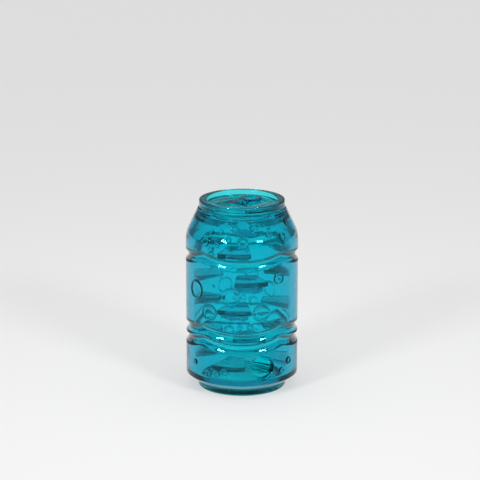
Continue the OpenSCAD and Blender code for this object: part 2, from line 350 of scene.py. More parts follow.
class RubberSettings(bpy.types.PropertyGroup):
    """Look of the clear rubber."""

    tint: colour("Tint", "Tint of the clear rubber", (0.8, 0.99, 1.0))
    cloud: colour("Cloud", "Tint where the rubber is faintly clouded", (0.7, 0.97, 0.98))
    fin_tint: colour("Fin tint", "Tint of the fins and the ring pull", (0.75, 0.98, 1.0))
    fin_cloud: colour("Fin cloud", "Clouded tint of the fins and the ring pull", (0.65, 0.96, 0.98))
    depth_colour: colour("Depth colour", "Colour that passes through thick rubber", (0.0, 0.957, 0.976))
    # The foot's depth colour is clearer than the wall's. This is painted light: a lighter copy of the same
    # rubber that stands in for the light which the floor's contact shadow keeps from the foot
    foot_painted_light_colour: colour("Foot colour", "Colour that passes through the thin foot", (0.0, 0.989, 0.994))
    wall_density: number("Wall density", "How fast the wall darkens with depth, per metre", 1560, min=0)
    # The lid's density is far lower than the wall's. This is painted light: a clearer copy of the same
    # rubber that brightens the lid in place of lamp light scattering through it
    lid_density: number("Lid density", "How fast the lid darkens with depth, per metre", 480, min=0)
    # The foot's lower density is painted light for the same reason, so the foot shows bright inside the
    # floor's shadow
    foot_density: number("Foot density", "How fast the foot darkens with depth, per metre", 600, min=0)
    fin_density: number("Fin density", "How fast the fins darken with depth, per metre", 600, min=0)
    tab_density: number("Tab density", "How fast ring pull and rivet darken, per metre", 3600, min=0)
    shine: colour("Shine", "Tint of the reflections", (0.2, 0.88, 0.95))
    bend: number("Bend", "Refractive index of the rubber", 1.5, min=1, max=2)
    cloud_scale: number("Cloud scale", "Scale of the faint clouds", 70, min=0)
    rub_scale: number("Rub scale", "Scale of the rubbed patches", 260, min=0)
    wave_scale: number("Wave scale", "Scale of the waves in the skin", 150, min=0)
    gloss: number("Gloss", "Roughness of the skin where it isn't rubbed", 0.03, min=0, max=1)
    rubbed: number("Rubbed", "Roughness of the rubbed patches", 0.1, min=0, max=1)
    wave_strength: number("Wave strength", "Strength of the waves in the skin", 0.35, min=0, max=1)
    wave_depth: length("Wave depth", "Depth of the waves in the skin", 0.3 * MM)


class StageSettings(bpy.types.PropertyGroup):
    """Camera, lamps and floor."""

    camera_distance: length("Camera distance", "Distance from the can's middle", 1.1)
    camera_rise: turn("Camera rise", "Height of the camera above the horizon", 16.1)
    camera_lens: number("Lens", "Focal length in mm", 139.6, min=10)
    aim_up: length("Aim up", "How far above the can's middle the camera aims", 30.2 * MM)
    aim_side: length("Aim side", "How far to the right of the can's middle the camera aims", -1.15 * MM)
    lamp_turn: turn("Lamp turn", "Turn of the two lamps to each side of the front", 38)
    lamp_rise: turn("Lamp rise", "Height of the lamps above the horizon", 25)
    lamp_distance: length("Lamp distance", "Distance of the lamps", 1.0)
    lamp_width: length("Lamp width", "Width of a lamp's soft box", 0.22)
    lamp_height: length("Lamp height", "Height of a lamp's soft box", 0.15)
    lamp_spread: turn("Lamp spread", "Spread that the grid on a soft box lets through", 60)
    lamp_power: number("Lamp power", "Power of each lamp", 0.45, unit="POWER")
    room_light: number("Room light", "Strength of the light from overhead", 0.76, min=0)
    horizon_light: number("Horizon light", "Strength of the light from the horizon", 0.24, min=0)
    floor_colour: colour("Floor", "Colour of the floor", (0.85, 0.85, 0.85))
    floor_glow: number("Floor white", "Share of plain white in the floor as seen", 0.42, min=0, max=1)


def start_fresh():
    """Goes to object mode with nothing selected."""
    if bpy.context.object and bpy.context.object.mode != "OBJECT":
        bpy.ops.object.mode_set(mode="OBJECT")
    bpy.ops.object.select_all(action="DESELECT")


def pick(obj):
    """Makes obj the only selected object and the active one."""
    start_fresh()
    obj.select_set(True)
    bpy.context.view_layer.objects.active = obj


def read_points(obj):
    """The mesh's vertices as rows of x, y, z."""
    points = np.empty(len(obj.data.vertices) * 3, dtype=np.float64)
    obj.data.vertices.foreach_get("co", points)
    return points.reshape(-1, 3)


def write_points(obj, points):
    """Moves the mesh's vertices to rows of x, y, z."""
    obj.data.vertices.foreach_set("co", np.asarray(points, dtype=np.float32).ravel())
    obj.data.update()


def named(name):
    """Gives the newest object and its mesh a name."""
    obj = bpy.context.object
    obj.name = name
    obj.data.name = name
    return obj


def copied(context, obj):
    """A copy of a piece, with its own mesh."""
    twin = obj.copy()
    twin.data = obj.data.copy()
    context.collection.objects.link(twin)
    return twin


def edit_all(obj):
    """Opens a mesh for editing with all of it selected."""
    pick(obj)
    bpy.ops.object.mode_set(mode="EDIT")
    bpy.ops.mesh.select_all(action="SELECT")


def mend_mesh(obj, merge=MERGE):
    """Merges doubles, clears flat leftovers and points the faces outwards."""
    edit_all(obj)
    bpy.ops.mesh.remove_doubles(threshold=merge)
    bpy.ops.mesh.dissolve_degenerate(threshold=merge)
    bpy.ops.mesh.delete_loose(use_verts=True, use_edges=True, use_faces=False)
    bpy.ops.mesh.select_all(action="SELECT")
    bpy.ops.mesh.normals_make_consistent(inside=False)
    bpy.ops.object.mode_set(mode="OBJECT")


def smooth(obj, degrees):
    """Shades the faces smooth, with edges sharper than an angle kept."""
    pick(obj)
    bpy.ops.object.shade_smooth_by_angle(angle=math.radians(degrees), keep_sharp_edges=False)


def rounded(corners, segments=CORNER_STEPS):
    """A closed outline through corners (x, z, radius), with each corner rounded to its radius."""
    outline = []
    count = len(corners)
    for i, (x, z, radius) in enumerate(corners):
        corner = Vector((x, z))
        if radius <= 0:
            outline.append(corner)
            continue
        before = (Vector(corners[i - 1][:2]) - corner).normalized()
        after = (Vector(corners[(i + 1) % count][:2]) - corner).normalized()
        half = math.acos(max(-1, min(1, before.dot(after)))) / 2
        start = corner + before * (radius / math.tan(half))
        end = corner + after * (radius / math.tan(half))
        centre = corner + (before + after).normalized() * (radius / math.sin(half))
        for step in range(segments + 1):
            between = start.lerp(end, step / segments) - centre
            outline.append(centre + between.normalized() * radius)
    return outline


def divided(outline, step, wanted):
    """The closed outline with each side that wanted(middle) accepts cut into lengths of at most step."""
    points = []
    for i, point in enumerate(outline):
        following = outline[(i + 1) % len(outline)]
        parts = 1
        if wanted((point + following) / 2):
            parts = max(1, math.ceil((following - point).length / step))
        points += [point.lerp(following, part / parts) for part in range(parts)]
    return points


def turned_solid(name, outline, steps):
    """A solid made by spinning a closed outline of x, z points round the can's axis."""
    start_fresh()
    bpy.ops.mesh.primitive_circle_add(vertices=len(outline), radius=1, fill_type="NOTHING")
    obj = named(name)
    write_points(obj, [(point[0], 0, point[1]) for point in outline])
    edit_all(obj)
    bpy.ops.mesh.spin(steps=steps, angle=math.tau, center=(0, 0, 0), axis=(0, 0, 1))
    bpy.ops.object.mode_set(mode="OBJECT")
    mend_mesh(obj)
    return obj


def lofted_solid(name, rings, capped):
    """A solid through rings of points, made from a grid. Rings that come back to the first need no caps."""
    start_fresh()
    bpy.ops.mesh.primitive_grid_add(x_subdivisions=len(rings[0]), y_subdivisions=len(rings) - 1, size=1)
    obj = named(name)
    write_points(obj, [point for ring in rings for point in list(ring) + [ring[0]]])
    mend_mesh(obj)
    if capped:
        edit_all(obj)
        bpy.ops.mesh.fill_holes(sides=0)
        bpy.ops.mesh.select_all(action="SELECT")
        bpy.ops.mesh.normals_make_consistent(inside=False)
        bpy.ops.object.mode_set(mode="OBJECT")
    return obj


def combine(obj, other, operation):
    """Cuts or joins obj with another solid, which is used up."""
    pick(obj)
    cut = obj.modifiers.new("combine", "BOOLEAN")
    cut.operation = operation
    cut.solver = "EXACT"
    cut.object = other
    bpy.ops.object.modifier_apply(modifier=cut.name)
    bpy.data.objects.remove(other, do_unlink=True)


def soften(obj, width):
    """Bevels the sharp edges of a piece."""
    pick(obj)
    edge = obj.modifiers.new("soften", "BEVEL")
    edge.width = width
    edge.segments = BEVEL_STEPS
    edge.limit_method = "ANGLE"
    edge.angle_limit = math.radians(BEVEL_FROM)
    bpy.ops.object.modifier_apply(modifier=edge.name)


def soft_step(x):
    """Goes smoothly from 0 at x = 0 to 1 at x = 1."""
    x = np.clip(x, 0, 1)
    return x * x * (3 - 2 * x)


def circle(steps):
    """Angles round a full turn."""
    return np.arange(steps) * math.tau / steps


def round_lip(size):
    """Places along a quarter round, as distances along the hole and outwards."""
    angles = [QUARTER * step / LIP_STEPS for step in range(1, LIP_STEPS + 1)]
    return [(size * math.sin(angle), size * (1 - math.cos(angle))) for angle in angles]


def noise(nodes, links, place, scale, detail):
    """A socket with soft noise on the piece's own coordinates."""
    texture = nodes.new("ShaderNodeTexNoise")
    texture.inputs["Scale"].default_value = scale
    texture.inputs["Detail"].default_value = detail
    links.new(place.outputs["Object"], texture.inputs["Vector"])
    return texture.outputs["Fac"]


def clear_rubber(name, tint, cloud, depth_colour, depth_density, rubber):
    """See-through moulded rubber with faint clouds, a slightly uneven skin and duller rubbed patches."""
    material = bpy.data.materials.new(name)
    material.use_nodes = True
    nodes, links = material.node_tree.nodes, material.node_tree.links
    skin = nodes["Principled BSDF"]
    skin.inputs["Transmission Weight"].default_value = 1
    skin.inputs["IOR"].default_value = rubber.bend
    skin.inputs["Specular Tint"].default_value = (*rubber.shine, 1)
    place = nodes.new("ShaderNodeTexCoord")

    clouds = noise(nodes, links, place, rubber.cloud_scale, CLOUD_DETAIL)
    shade = nodes.new("ShaderNodeMix")
    shade.data_type = "RGBA"
    shade.inputs["A"].default_value = (*tint, 1)
    shade.inputs["B"].default_value = (*cloud, 1)
    links.new(clouds, shade.inputs["Factor"])
    links.new(shade.outputs["Result"], skin.inputs["Base Color"])

    rubbing = noise(nodes, links, place, rubber.rub_scale, RUB_DETAIL)
    dullness = nodes.new("ShaderNodeMapRange")
    dullness.inputs["From Min"].default_value = RUB_RANGE[0]
    dullness.inputs["From Max"].default_value = RUB_RANGE[1]
    dullness.inputs["To Min"].default_value = rubber.gloss
    dullness.inputs["To Max"].default_value = rubber.rubbed
    links.new(rubbing, dullness.inputs["Value"])
    links.new(dullness.outputs["Result"], skin.inputs["Roughness"])

    waves = noise(nodes, links, place, rubber.wave_scale, WAVE_DETAIL)
    uneven = nodes.new("ShaderNodeBump")
    uneven.inputs["Strength"].default_value = rubber.wave_strength
    uneven.inputs["Distance"].default_value = rubber.wave_depth
    links.new(waves, uneven.inputs["Height"])
    links.new(uneven.outputs["Normal"], skin.inputs["Normal"])

    depth = nodes.new("ShaderNodeVolumeAbsorption")
    depth.inputs["Color"].default_value = (*depth_colour, 1)
    depth.inputs["Density"].default_value = depth_density
    links.new(depth.outputs["Volume"], nodes["Material Output"].inputs["Volume"])
    return material


def rubber_material(context, kind):
    """The rubber of the wall, lid, foot, fins or ring pull, made once for each kind."""
    name = f"{kind}_teal_rubber"
    found = bpy.data.materials.get(name)
    if found:
        return found
    rubber = context.scene.dispenser_rubber
    tint, cloud = rubber.tint, rubber.cloud
    if kind in ("fin", "tab"):
        tint, cloud = rubber.fin_tint, rubber.fin_cloud
    # The foot takes its own clearer depth colour, which is painted light that brightens it in the floor's
    # shadow
    depth_colour = rubber.foot_painted_light_colour if kind == "foot" else rubber.depth_colour
    # The lid and the foot get lower densities than the wall, which is painted light that brightens them
    depth_density = getattr(rubber, f"{kind}_density")
    return clear_rubber(name, tint, cloud, depth_colour, depth_density, rubber)


def hand_over(obj, material, body, slot, *nodes):
    """Dresses a finished piece and sets it on its body in place of its solids."""
    obj.data.materials.clear()
    obj.data.materials.append(material)
    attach(obj, body)
    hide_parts(*nodes)


def wall_heights(context):
    """Heights of the slope's top, the shoulder and the neck's top."""
    wall = context.scene.dispenser_wall
    slope_top = context.scene.dispenser_foot.height + wall.slope_height
    shoulder = slope_top + wall.straight_height
    neck_top = (
        shoulder
        + wall.shoulder_radius * math.tan(wall.neck_slope / 2)
        + (wall.radius - wall.neck_radius) / math.tan(wall.neck_slope)
    )
    return slope_top, shoulder, neck_top


def wall_lean(context, height):
    """Lean of the wall's outside from upright, at heights above the slope."""
    wall = context.scene.dispenser_wall
    rise = (height - wall_heights(context)[1]) / wall.shoulder_radius
    return np.arcsin(np.clip(rise, 0, math.sin(wall.neck_slope)))


def wall_skin(context, height):
    """Outer radius of the wall without its grooves, at heights above the slope."""
    wall = context.scene.dispenser_wall
    lean = wall_lean(context, height)
    above = np.maximum(height - wall_heights(context)[1] - wall.shoulder_radius * np.sin(lean), 0)
    return wall.radius - wall.shoulder_radius * (1 - np.cos(lean)) - above * math.tan(wall.neck_slope)


def groove_lows(context):
    """Heights of the grooves' low points, from the lowest up."""
    wall = context.scene.dispenser_wall
    slope_top, shoulder = wall_heights(context)[:2]
    pair = slope_top + wall.groove_pair_rise
    half = wall.groove_pair_pitch / 2
    return pair - half, pair + half, shoulder - wall.upper_groove_drop


def groove_wave(context, angle):
    """Climb of a groove at each turn, from its four low points to the corners between them."""
    from_low = np.abs((angle + QUARTER / 2) % QUARTER - QUARTER / 2)
    full_climb = 1 - math.cos(QUARTER / 2)
    here = (1 - np.cos(from_low)) / full_climb
    there = (1 - np.cos(QUARTER - from_low)) / full_climb
    share = -np.log(np.exp(-GROOVE_CORNER * here) + np.exp(-GROOVE_CORNER * there)) / GROOVE_CORNER
    return share * context.scene.dispenser_wall.groove_climb


def groove_dip(context, off):
    """Depth of a groove at a distance from its middle: a round bottom, straight flanks and steep lips."""
    wall = context.scene.dispenser_wall
    half = wall.groove_width / 2
    bottom = wall.groove_bottom
    flank = (np.hypot(off, bottom) - bottom) * math.tan(wall.groove_flank)
    lip = wall.groove_depth - (math.hypot(half, bottom) - bottom) * math.tan(wall.groove_flank)
    return np.maximum(wall.groove_depth - flank - lip * np.abs(off / half) ** LIP_POWER, 0)


def wall_outline(context):
    """The wall's section at a low point: up the outside with its grooves, and down the inside."""
    wall = context.scene.dispenser_wall
    foot = context.scene.dispenser_foot.height
    slope_top, shoulder, neck_top = wall_heights(context)
    lean = math.tan(wall.neck_slope)
    slope = math.atan2(wall.radius - wall.slope_low_radius, wall.slope_height)
    bore = wall.radius - wall.thickness
    neck_bore = wall.neck_radius - wall.thickness / math.cos(wall.neck_slope)
    # Depth below the neck's top where a slope of 45 degrees under the socket meets the neck's inside
    flare = (neck_bore - wall.socket_radius + wall.socket_depth) / (1 - lean)

    def slope_inside(radius):
        """Height of the inside of the slope at a radius."""
        return foot + (radius + wall.thickness / math.cos(slope) - wall.slope_low_radius) / math.tan(slope)

    corners = [(wall.slope_low_radius, foot, WALL_LOW_EDGE), (wall.radius, slope_top, SLOPE_EDGE)]
    half = wall.groove_width / 2
    ridge = min(half, wall.groove_pair_pitch / 2)
    for low, below, above in zip(groove_lows(context), (half, ridge, half), (ridge, half, half)):
        for step in range(GROOVE_STEPS + 1):
            # The ridge inside the pair is already the last point of its lower groove
            if step == 0 and below < half:
                continue
            off = -below + (below + above) * step / GROOVE_STEPS
            edge = GROOVE_EDGE if step in (0, GROOVE_STEPS) else 0
            corners.append((wall.radius - float(groove_dip(context, off)), low + off, edge))
    for step in range(SHOULDER_STEPS + 1):
        angle = wall.neck_slope * step / SHOULDER_STEPS
        x = wall.radius - wall.shoulder_radius * (1 - math.cos(angle))
        corners.append((x, shoulder + wall.shoulder_radius * math.sin(angle), 0))
    corners += [
        (wall.neck_radius, neck_top, NECK_EDGE),
        (wall.socket_radius, neck_top, SOCKET_EDGE),
        (wall.socket_radius, neck_top - wall.socket_depth, SOCKET_FLOOR_EDGE),
        (neck_bore + flare * lean, neck_top - flare, NECK_BORE_EDGE),
        (bore, neck_top - (bore - neck_bore) / lean, SHOULDER_BORE_EDGE),
        (bore, slope_inside(bore), SLOPE_BORE_EDGE),
        (wall.foot_hole_radius, slope_inside(wall.foot_hole_radius), FOOT_HOLE_EDGE),
        (wall.foot_hole_radius, foot, FOOT_HOLE_LOW_EDGE),
    ]
    middle = wall.radius - wall.thickness / 2
    return divided(rounded(corners), WALL_FACE, lambda point: point[0] > middle and point[1] > slope_top)


def wave_wall(context, obj):
    """Moves the grooves of a turned wall up and down, so that they climb between their low points."""
    wall = context.scene.dispenser_wall
    slope_top, shoulder = wall_heights(context)[:2]
    lows = groove_lows(context)
    points = read_points(obj)
    outer = np.hypot(points[:, 0], points[:, 1]) > wall.radius - wall.thickness / 2
    height = points[:, 2]
    below = (height - slope_top - WAVE_MARGIN) / (lows[0] - wall.groove_width / 2 - slope_top - WAVE_MARGIN)
    above = (shoulder - height) / (shoulder - lows[2] - wall.groove_width / 2)
    share = np.where(outer, soft_step(np.minimum(below, above)), 0)
    points[:, 2] += share * groove_wave(context, np.arctan2(points[:, 0], -points[:, 1]))
    write_points(obj, points)


def wrapped_nub(context, unit, turned, level, width):
    """Points of a unit nub brought to a nub's size, wrapped onto the wall and cut off by the grooves."""
    wall = context.scene.dispenser_wall
    side = np.hypot(unit[:, 0], unit[:, 1]) > (1 + NUB_INNER_RING) / 2
    across = np.clip(unit[:, 2], 0, 1)
    size = width / 2 - min(wall.nub_bead, BEAD_SHARE * width) * np.where(side, across, 1)
    dished = np.clip((width - DISH_FROM) / (DISH_FULL - DISH_FROM), 0, 1)
    rise = np.sin(np.clip(across * 2, 0, 1) * QUARTER) * wall.nub_height
    fall = soft_step(across * 2 - 1) * wall.nub_dish * dished
    bulge = np.where(unit[:, 2] < NUB_ROOT / 2, -wall.nub_depth, rise - fall)
    lean = wall_lean(context, level)
    height = level + unit[:, 1] * size * np.cos(lean)
    angle = turned + unit[:, 0] * size / wall_skin(context, level)
    wave = groove_wave(context, angle)
    dip = np.max([groove_dip(context, height - low - wave) for low in groove_lows(context)], axis=0)
    out = np.where(dip > 0, np.minimum(bulge, -NUB_SINK) - dip, bulge)
    radius = wall_skin(context, height) + out * np.cos(lean)
    places = (radius * np.sin(angle), -radius * np.cos(angle), height + out * np.sin(lean))
    return np.stack(places, axis=1)


def wall_nubs(context):
    """The round nubs of both halves of the wall, as one mesh."""
    slope_top, _, neck_top = wall_heights(context)
    side = [(1, step / BEAD_STEPS) for step in range(BEAD_STEPS + 1)]
    outline = [(0, NUB_ROOT), (1, NUB_ROOT), *side, (NUB_INNER_RING, 1), (0, 1)]
    first = turned_solid("nub", outline, NUB_STEPS)
    unit = read_points(first)
    marks = [(at, slope_top + up * MM, width * MM) for at, up, width in WALL_NUBS]
    marks += [(at, neck_top - drop * MM, width * MM) for at, drop, width in NECK_NUBS]
    nubs = []
    for at, level, width in marks:
        for half in (0, 180):
            nub = copied(context, first)
            write_points(nub, wrapped_nub(context, unit, math.radians(at + half), level, width))
            nubs.append(nub)
    bpy.data.objects.remove(first, do_unlink=True)
    pick(nubs[0])
    for nub in nubs:
        nub.select_set(True)
    bpy.ops.object.join()
    return nubs[0]


def port_cutter(context):
    """A plug the size of the treat port, flared where it leaves the wall."""
    wall = context.scene.dispenser_wall
    lip_start = wall.radius - wall.port_lip - PORT_LIP_INSET
    stations = [(wall.radius - 2 * wall.thickness, wall.port_radius), (lip_start, wall.port_radius)]
    stations += [(lip_start + along, wall.port_radius + grow) for along, grow in round_lip(wall.port_lip)]
    stations.append((wall.radius + PORT_MARGIN, wall.port_radius + PORT_FLARE * wall.port_lip))
    rings = []
    for out, size in stations:
        ring = []
        for angle in circle(RING_STEPS):
            ring.append((size * math.cos(angle), -out, size * math.sin(angle)))
        rings.append(ring)
    cutter = lofted_solid("port_cutter", rings, True)
    middle = Matrix.Translation((0, 0, wall_heights(context)[0] + wall.port_rise))
    cutter.data.transform(middle @ Matrix.Rotation(wall.port_turn, 4, "Z"))
    return cutter


class DISPENSER_OT_wall(bpy.types.Operator):
    """Models the clear wall with its shoulder, grooves, nubs and treat port"""

    bl_idname = "dispenser.wall"
    bl_label = "Can wall"

    def execute(self, context):
        obj = turned_solid("can_wall", wall_outline(context), WALL_STEPS)
        wave_wall(context, obj)
        combine(obj, wall_nubs(context), "UNION")
        combine(obj, port_cutter(context), "DIFFERENCE")
        mend_mesh(obj, WALL_MERGE)
        smooth(obj, WALL_CREASE)
        hand_over(obj, rubber_material(context, "wall"), "can", "clear_rubber", "can_body")
        return {"FINISHED"}


def lid_levels(context):
    """Heights of the lid's top, its floor and its sunk panel."""
    lid = context.scene.dispenser_lid
    top = LID_BOX[1][2]
    return top, top - lid.floor_drop, top - lid.floor_drop - lid.panel_drop


def on_lid(context, obj):
    """Turns a piece from the lid's own axes to its place on the can."""
    obj.data.transform(Matrix.Rotation(context.scene.dispenser_lid.lid_turn, 4, "Z"))


def mouth_cutter(context):
    """A plug the shape of the oval mouth, flared at the panel."""
    lid = context.scene.dispenser_lid
    top, _, panel = lid_levels(context)
    end = lid.mouth_length / 2
    side = lid.mouth_width / 2 - end
    lip_start = panel - lid.mouth_lip
    levels = [(LID_BOX[0][2] - CUTTER_MARGIN, 0), (lip_start, 0)]
    levels += [(lip_start + along, grow) for along, grow in round_lip(lid.mouth_lip)]
    levels.append((top + CUTTER_MARGIN, MOUTH_FLARE * lid.mouth_lip))
    rings = []
    for level, grow in levels:
        ring = []
        for angle in circle(RING_STEPS):
            x = (end + grow) * math.cos(angle) + math.copysign(side, math.cos(angle))
            ring.append((x, lid.mouth_at + (end + grow) * math.sin(angle), level))
        rings.append(ring)
    return lofted_solid("mouth_cutter", rings, True)


def panel_cutter(context):
    """A plug the shape of the sunk panel, with a rounded bottom edge."""
    lid = context.scene.dispenser_lid
    top, floor, panel = lid_levels(context)
    levels = []
    for step in range(PANEL_EDGE_STEPS + 1):
        angle = QUARTER * step / PANEL_EDGE_STEPS
        levels.append((panel + PANEL_EDGE * (1 - math.cos(angle)), PANEL_EDGE * (math.sin(angle) - 1)))
    levels += [(floor - PANEL_LIP, 0), (floor, PANEL_LIP), (top + CUTTER_MARGIN, PANEL_FLARE)]
    rings = []
    for level, grow in levels:
        side = lid.panel_width / 2 + grow
        ring = []
        for angle in circle(PANEL_STEPS):
            x = (lid.panel_reach + grow) * math.cos(angle)
            ring.append((max(-side, min(side, x)), (lid.panel_reach + grow) * math.sin(angle), level))
        rings.append(ring)
    return lofted_solid("panel_cutter", rings, True)


class DISPENSER_OT_lid(bpy.types.Operator):
    """Models the lid with its round rim, sunk floor and panel, plug and oval mouth"""

    bl_idname = "dispenser.lid"
    bl_label = "Lid"

    def execute(self, context):
        lid = context.scene.dispenser_lid
        top, floor = lid_levels(context)[:2]
        low = LID_BOX[0][2]
        rim = (LID_BOX[1][0] - LID_BOX[0][0]) / 2
        plug_bore = lid.plug_radius - lid.plug_thickness
        underside = floor - lid.floor_thickness
        outline = rounded(
            [
                (0, underside, 0),
                (plug_bore, underside, PLUG_BORE_EDGE),
                (plug_bore, low, PLUG_EDGE),
                (lid.plug_radius, low, PLUG_EDGE),
                (lid.plug_radius, lid.seat_height, SEAT_EDGE),
                (rim, lid.seat_height, RIM_LOW_EDGE),
                (rim, top, lid.rim_round),
                (lid.rim_bore_radius, top, lid.rim_bore_round),
                (lid.rim_bore_radius, floor, LID_FLOOR_EDGE),
                (0, floor, 0),
            ],
            LID_CORNER_STEPS,
        )
        obj = turned_solid("can_lid", outline, LID_STEPS)
        combine(obj, panel_cutter(context), "DIFFERENCE")
        combine(obj, mouth_cutter(context), "DIFFERENCE")
        on_lid(context, obj)
        smooth(obj, CREASE)
        hand_over(obj, rubber_material(context, "lid"), "lid", "clear_rubber", "top_lid")
        return {"FINISHED"}


class DISPENSER_OT_ring_pull(bpy.types.Operator):
    """Models the soft ring pull with its finger hole and rolled root"""

    bl_idname = "dispenser.ring_pull"
    bl_label = "Ring pull"

    def execute(self, context):
        lid = context.scene.dispenser_lid
        half = lid.tab_thickness / 2
        middle = lid_levels(context)[2] + lid.tab_gap + half
        back = lid.tab_reach + half
        rings = []
        for angle in [*circle(RING_STEPS), math.tau]:
            across, along = math.sin(angle), -math.cos(angle)
            reach = lid.tab_radius
            if along < 0:
                root = min(back / -along, lid.tab_root_width / 2 / max(abs(across), TINY))
                reach = max(reach, root)
            corners = [
                (lid.tab_hole_radius, -half, TAB_EDGE),
                (reach, -half, TAB_EDGE),
                (reach, half, TAB_EDGE),
                (lid.tab_hole_radius, half, TAB_EDGE),
            ]
            ring = []
            for point in rounded(corners, TAB_CORNER_STEPS):
                y = lid.tab_at + lid.tab_reach + along * point[0]
                ring.append((across * point[0], y, middle + point[1]))
            rings.append(ring)
        obj = lofted_solid("ring_pull", rings, False)
        on_lid(context, obj)
        smooth(obj, CREASE)
        hand_over(obj, rubber_material(context, "tab"), "ring_pull", "fin_rubber", "pull_tab")
        return {"FINISHED"}


class DISPENSER_OT_rivet(bpy.types.Operator):
    """Models the rivet's domed head and the cradle that holds the ring pull's root"""

    bl_idname = "dispenser.rivet"
    bl_label = "Rivet"

    def execute(self, context):
        lid = context.scene.dispenser_lid
        panel = lid_levels(context)[2]
        seat = panel + SEAT
        high = panel + lid.tab_gap + lid.tab_thickness
        outline = rounded(
            [
                (0, seat, 0),
                (lid.rivet_radius, seat, RIVET_LOW_EDGE),
                (lid.rivet_radius, high, RIVET_DOME),
                (0, high, 0),
            ]
        )
        obj = turned_solid("tab_rivet_head", outline, RIVET_STEPS)
        obj.data.transform(Matrix.Translation((0, lid.rivet_at, 0)))

        depth = lid.tab_at - lid.rivet_at
        cradle_height = lid.tab_gap + lid.tab_thickness / 2
        start_fresh()
        bpy.ops.mesh.primitive_cube_add(size=1)
        cradle = named("cradle")
        cradle.data.transform(
            Matrix.Translation((0, lid.rivet_at + depth / 2, seat + cradle_height / 2))
            @ Matrix.Diagonal((lid.tab_root_width, depth, cradle_height, 1))
        )
        soften(cradle, CRADLE_EDGE)

        start_fresh()
        bpy.ops.mesh.primitive_cylinder_add(
            vertices=RIVET_STEPS, radius=lid.tab_thickness / 2 + lid.tab_gap, depth=2 * lid.tab_root_width
        )
        roll = named("roll")
        roll_middle = Matrix.Translation((0, lid.tab_at, panel + cradle_height))
        roll.data.transform(roll_middle @ Matrix.Rotation(QUARTER, 4, "Y"))
        combine(cradle, roll, "DIFFERENCE")
        combine(obj, cradle, "UNION")
        on_lid(context, obj)
        smooth(obj, RIVET_CREASE)
        hand_over(obj, rubber_material(context, "tab"), "lid", "fin_rubber", "tab_rivet")
        return {"FINISHED"}


class DISPENSER_OT_foot(bpy.types.Operator):
    """Models the foot ring with its plug and the hollow underneath"""

    bl_idname = "dispenser.foot"
    bl_label = "Foot"

    def execute(self, context):
        foot = context.scene.dispenser_foot
        low, high = FOOT_BOX[0][2], FOOT_BOX[1][2]
        hollow_radius = foot.radius - foot.land
        ball = (hollow_radius**2 + foot.hollow**2) / (2 * foot.hollow)
        corners = []
        for step in range(HOLLOW_STEPS + 1):
            x = hollow_radius * step / HOLLOW_STEPS
            z = low + foot.hollow - ball + math.sqrt(ball**2 - x**2)
            corners.append((x, z, HOLLOW_EDGE if step == HOLLOW_STEPS else 0))
        ring_top = low + foot.height - SEAT
        corners += [
            (foot.radius, low, FOOT_LOW_EDGE),
            (foot.radius, ring_top, FOOT_TOP_EDGE),
            (foot.plug_radius, ring_top, FOOT_PLUG_ROOT),
            (foot.plug_radius, high, FOOT_PLUG_EDGE),
            (0, high, 0),
        ]
        obj = turned_solid("foot_ring", rounded(corners), FOOT_STEPS)
        smooth(obj, CREASE)
        hand_over(obj, rubber_material(context, "foot"), "can", "clear_rubber", "base_cap")
        return {"FINISHED"}


def first_fin(context):
    """One tapered fin at the front, with its root level at zero."""
    fin = context.scene.dispenser_fin
    wall = context.scene.dispenser_wall
    root_radius = wall.radius - wall.thickness - fin.seat_gap
    start_fresh()
    bpy.ops.mesh.primitive_cube_add(size=2)
    obj = named("inner_fin")
    edit_all(obj)
    bpy.ops.mesh.subdivide(number_cuts=FIN_CUTS)
    bpy.ops.object.mode_set(mode="OBJECT")
    points = read_points(obj)
    reach = wall.radius - fin.tip_radius
    taper = (fin.width - fin.tip_width) / reach
    root_half = (fin.tip_width + taper * (root_radius - fin.tip_radius)) / 2
    root = np.sqrt(root_radius**2 - (points[:, 0] * root_half) ** 2)
    out = fin.tip_radius + (root - fin.tip_radius) * (1 - points[:, 1]) / 2
    share = (out - fin.tip_radius) / reach
    across = points[:, 0] * (fin.tip_width + taper * (out - fin.tip_radius)) / 2
    thick = fin.tip_thickness + (fin.root_thickness - fin.tip_thickness) * share
    level = fin.lift * (1 - share) + points[:, 2] * thick / 2
    write_points(obj, np.stack([across, -out, level], axis=1))
    soften(obj, FIN_EDGE)
    smooth(obj, CREASE)
    return obj


class DISPENSER_OT_fins(bpy.types.Operator):
    """Models one inner fin and copies it to five levels on four sides"""

    bl_idname = "dispenser.fins"
    bl_label = "Inner fins"

    def execute(self, context):
        fin = context.scene.dispenser_fin
        slope_top, shoulder = wall_heights(context)[:2]
        low = slope_top + fin.low_rise
        pitch = (shoulder - fin.high_drop - low) / (len(FIN_TURNS) - 1)
        first = first_fin(context)
        material = rubber_material(context, "fin")
        for side, side_name in enumerate(FIN_SIDES):
            for level, level_turn in enumerate(FIN_TURNS):
                obj = copied(context, first)
                obj.name = f"{side_name}_fin_{level + 1}"
                obj.data.name = obj.name
                rise = Matrix.Translation((0, 0, low + level * pitch))
                angle = math.radians(360 / len(FIN_SIDES) * side + level_turn)
                obj.data.transform(rise @ Matrix.Rotation(angle, 4, "Z"))
                hand_over(obj, material, "can", "fin_rubber", f"fin_{side_name}_{level + 1}")
        bpy.data.objects.remove(first, do_unlink=True)
        return {"FINISHED"}


def seen_rays(nodes, links):
    """A socket that is 1 for rays that show the background, straight on, mirrored or through the rubber."""
    path = nodes.new("ShaderNodeLightPath")
    seen = path.outputs["Is Camera Ray"]
    for kind in ("Is Glossy Ray", "Is Transmission Ray"):
        either = nodes.new("ShaderNodeMath")
        either.operation = "MAXIMUM"
        links.new(seen, either.inputs[0])
        links.new(path.outputs[kind], either.inputs[1])
        seen = either.outputs[0]
    return seen


